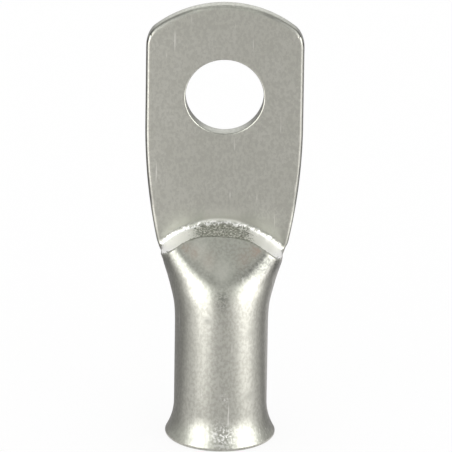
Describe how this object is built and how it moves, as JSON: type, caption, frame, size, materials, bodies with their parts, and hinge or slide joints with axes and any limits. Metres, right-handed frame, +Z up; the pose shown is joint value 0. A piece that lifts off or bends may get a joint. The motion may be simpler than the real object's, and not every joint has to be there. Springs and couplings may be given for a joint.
{
  "type": "copper cable lug",
  "caption": "Tin-plated copper tube lug: a bell-mouthed barrel for a stripped cable, pressed flat into a round-tipped tongue with a stud hole.",
  "frame": {"origin": "centre of the bell mouth's rim plane, on the axis of the barrel", "axes": "+Z up the barrel to the tip of the tongue, -Y out of the stepped front, X across the width of the tongue"},
  "size_m": [0.0138, 0.0096, 0.0385],
  "materials": {
    "tinned_copper": "thin satin tin plating over pressed copper"
  },
  "bodies": {
    "root": {"cable_lug": "tinned_copper"}
  },
  "joints": []
}
